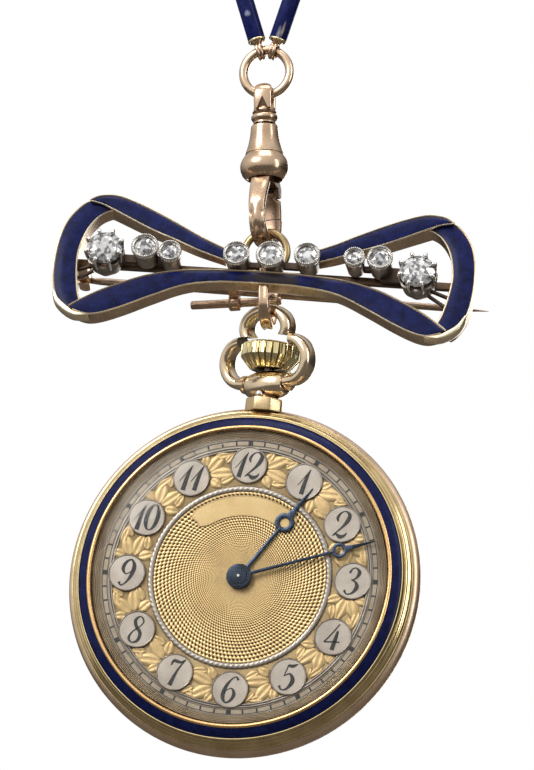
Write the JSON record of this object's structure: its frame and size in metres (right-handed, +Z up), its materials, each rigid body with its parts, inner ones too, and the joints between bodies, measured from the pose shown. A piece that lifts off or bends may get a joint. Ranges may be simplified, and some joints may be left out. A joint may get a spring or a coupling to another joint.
{
  "type": "fob watch",
  "caption": "Open-faced fob watch with winding crown and enamelled bezel, hung from an enamelled bow brooch set with stones, on a swivel clasp and chain links.",
  "frame": {"origin": "centre of the jump ring that the clasp, brooch and watch hang from", "axes": "+Z up along the hanging watch, the dial and the bow face -Y, +X to the right seen from the front"},
  "size_m": [0.0337, 0.009, 0.0694],
  "materials": {
    "rose_gold": "polished rose gold",
    "yellow_gold": "polished yellow gold",
    "blue_enamel": "translucent vitreous enamel, glossy",
    "silver": "millegrained silver",
    "diamond": "faceted",
    "crystal": "polished",
    "dial": "silvered and gilt, engine turned",
    "blued_steel": "blued",
    "steel": "polished steel",
    "gilt_brass": "gilt, fine matt"
  },
  "bodies": {
    "jump_ring": {"jump_ring": "rose_gold"},
    "link_left": {"link_left_core": "yellow_gold", "link_left_enamel": "blue_enamel"},
    "link_right": {"link_right_core": "yellow_gold", "link_right_enamel": "blue_enamel"},
    "clasp_eye": {"clasp_eye": "rose_gold"},
    "clasp": {"clasp_bell": "rose_gold", "clasp_hook": "rose_gold", "clasp_gate_pin": "steel"},
    "clasp_gate": {"clasp_gate": "rose_gold"},
    "brooch": {"bow_ribbon_left": "yellow_gold", "bow_ribbon_right": "yellow_gold", "left_setting": "silver", "centre_setting": "silver", "right_setting": "silver", "diamond_left_large": "diamond", "diamond_left_middle": "diamond", "diamond_left_small": "diamond", "diamond_centre_left": "diamond", "diamond_centre": "diamond", "diamond_centre_right": "diamond", "diamond_right_small": "diamond", "diamond_right_middle": "diamond", "diamond_right_large": "diamond", "back_bar": "rose_gold", "top_loop": "rose_gold", "pin_hinge": "rose_gold", "pin_catch": "rose_gold", "watch_hook": "rose_gold", "bolt_guide": "rose_gold"},
    "pin_stem": {"pin_stem": "steel"},
    "hook_bolt": {"hook_bolt": "rose_gold"},
    "watch_bow": {"watch_bow": "rose_gold"},
    "watch_case": {"case_middle": "rose_gold", "cover_hinge": "yellow_gold", "pendant": "rose_gold", "bezel": "yellow_gold", "bezel_enamel": "blue_enamel", "crystal": "crystal", "dial": "dial", "main_plate": "gilt_brass", "train_bridge": "gilt_brass", "balance_cock": "gilt_brass", "hairspring": "blued_steel"},
    "back_cover": {"back_cover": "yellow_gold"},
    "winding_stem": {"winding_stem": "steel"},
    "crown": {"crown": "yellow_gold"},
    "crown_wheel": {"crown_wheel": "steel"},
    "ratchet_wheel": {"ratchet_wheel": "steel"},
    "barrel": {"barrel": "gilt_brass", "mainspring": "steel"},
    "centre_wheel": {"centre_wheel": "gilt_brass"},
    "third_wheel": {"third_wheel": "gilt_brass"},
    "fourth_wheel": {"fourth_wheel": "gilt_brass"},
    "escape_wheel": {"escape_wheel": "steel"},
    "minute_hand": {"minute_hand": "blued_steel", "cannon_pinion": "steel"},
    "hour_hand": {"hour_hand": "blued_steel"},
    "pallet_fork": {"pallet_fork": "steel"},
    "balance_wheel": {"balance_wheel": "gilt_brass"}
  },
  "joints": [
    {"name": "link_left_swing", "type": "hinge", "parent": "jump_ring", "child": "link_left", "pos_m": [0, 0, 0], "axis": [0, 1, 0], "range_deg": [-20, 4]},
    {"name": "link_right_swing", "type": "hinge", "parent": "jump_ring", "child": "link_right", "pos_m": [0, 0, 0], "axis": [0, 1, 0], "range_deg": [-4, 20]},
    {"name": "clasp_swing", "type": "hinge", "parent": "jump_ring", "child": "clasp_eye", "pos_m": [0, 0, 0], "axis": [0, 1, 0], "range_deg": [-20, 20]},
    {"name": "clasp_swivel", "type": "hinge", "parent": "clasp_eye", "child": "clasp", "pos_m": [-0.00015, 0, -0.006], "axis": [0, 0, 1], "continuous": true},
    {"name": "clasp_gate_pivot", "type": "hinge", "parent": "clasp", "child": "clasp_gate", "pos_m": [0.00007, 0.00153, -0.00975], "axis": [0.9903, -0.1392, 0], "range_deg": [-18, 0], "stiffness_Nm_per_rad": 0.00002, "springref_deg": 17.19},
    {"name": "brooch_tilt", "type": "hinge", "parent": "clasp", "child": "brooch", "pos_m": [-0.00005, 0, -0.01493], "axis": [0, 1, 0], "range_deg": [-15, 15]},
    {"name": "pin_opening", "type": "hinge", "parent": "brooch", "child": "pin_stem", "pos_m": [-0.0148, 0.0011, -0.0161], "axis": [0.0793, 0.2494, 0.9652], "range_deg": [0, 80]},
    {"name": "bolt_slide", "type": "slide", "parent": "brooch", "child": "hook_bolt", "axis": [-1, 0, 0], "range_m": [0, 0.002]},
    {"name": "watch_swing", "type": "hinge", "parent": "brooch", "child": "watch_bow", "pos_m": [0.00023, -0.00068, -0.02129], "axis": [0, 1, 0], "range_deg": [-12, 12]},
    {"name": "bow_pivot", "type": "hinge", "parent": "watch_bow", "child": "watch_case", "pos_m": [0.00008, 0, -0.02562], "axis": [0.8851, -0.454, -0.1024], "range_deg": [-25, 25]},
    {"name": "back_cover_hinge", "type": "hinge", "parent": "watch_case", "child": "back_cover", "pos_m": [-0.01528, 0.0005, -0.0401], "axis": [0.1149, 0, 0.9934], "range_deg": [0, 100]},
    {"name": "crown_turn", "type": "hinge", "parent": "watch_case", "child": "winding_stem", "pos_m": [0.00018, 0, -0.02477], "axis": [0.1149, 0, 0.9934], "continuous": true},
    {"name": "crown_pull", "type": "slide", "parent": "winding_stem", "child": "crown", "axis": [0.1149, 0, 0.9934], "range_m": [0, 0.0004]},
    {"name": "crown_wheel_turn", "type": "hinge", "parent": "watch_case", "child": "crown_wheel", "pos_m": [-0.00166, 0, -0.03417], "axis": [0, 1, 0], "continuous": true},
    {"name": "ratchet_turn", "type": "hinge", "parent": "watch_case", "child": "ratchet_wheel", "pos_m": [-0.00552, 0, -0.03887], "axis": [0, 1, 0], "continuous": true},
    {"name": "barrel_turn", "type": "hinge", "parent": "watch_case", "child": "barrel", "pos_m": [-0.00552, 0, -0.03887], "axis": [0, 1, 0], "continuous": true},
    {"name": "centre_wheel_turn", "type": "hinge", "parent": "watch_case", "child": "centre_wheel", "pos_m": [-0.00178, 0, -0.04166], "axis": [0, 1, 0], "continuous": true},
    {"name": "third_wheel_turn", "type": "hinge", "parent": "watch_case", "child": "third_wheel", "pos_m": [0.00175, 0, -0.04082], "axis": [0, 1, 0], "continuous": true},
    {"name": "fourth_wheel_turn", "type": "hinge", "parent": "watch_case", "child": "fourth_wheel", "pos_m": [0.00216, 0, -0.04422], "axis": [0, 1, 0], "continuous": true},
    {"name": "escape_wheel_turn", "type": "hinge", "parent": "watch_case", "child": "escape_wheel", "pos_m": [0.001, 0, -0.0466], "axis": [0, 1, 0], "continuous": true},
    {"name": "minute_hand_turn", "type": "hinge", "parent": "watch_case", "child": "minute_hand", "pos_m": [-0.00178, 0, -0.04166], "axis": [0, 1, 0], "continuous": true},
    {"name": "hour_hand_turn", "type": "hinge", "parent": "watch_case", "child": "hour_hand", "pos_m": [-0.00178, 0, -0.04166], "axis": [0, 1, 0], "continuous": true},
    {"name": "pallet_swing", "type": "hinge", "parent": "watch_case", "child": "pallet_fork", "pos_m": [-0.00132, 0, -0.04715], "axis": [0, 1, 0], "range_deg": [-5, 5]},
    {"name": "balance_swing", "type": "hinge", "parent": "watch_case", "child": "balance_wheel", "pos_m": [-0.0052, 0, -0.04781], "axis": [0, 1, 0], "range_deg": [-270, 270], "stiffness_Nm_per_rad": 0.00000002}
  ],
  "couplings": [
    {"joint": "crown_wheel_turn", "follows": "crown_turn", "ratio": -0.5},
    {"joint": "ratchet_turn", "follows": "crown_turn", "ratio": 0.33333},
    {"joint": "third_wheel_turn", "follows": "fourth_wheel_turn", "ratio": -0.13333},
    {"joint": "centre_wheel_turn", "follows": "fourth_wheel_turn", "ratio": 0.016667},
    {"joint": "minute_hand_turn", "follows": "fourth_wheel_turn", "ratio": 0.016667},
    {"joint": "hour_hand_turn", "follows": "fourth_wheel_turn", "ratio": 0.0013889},
    {"joint": "barrel_turn", "follows": "fourth_wheel_turn", "ratio": -0.0027778},
    {"joint": "escape_wheel_turn", "follows": "fourth_wheel_turn", "ratio": -10}
  ]
}
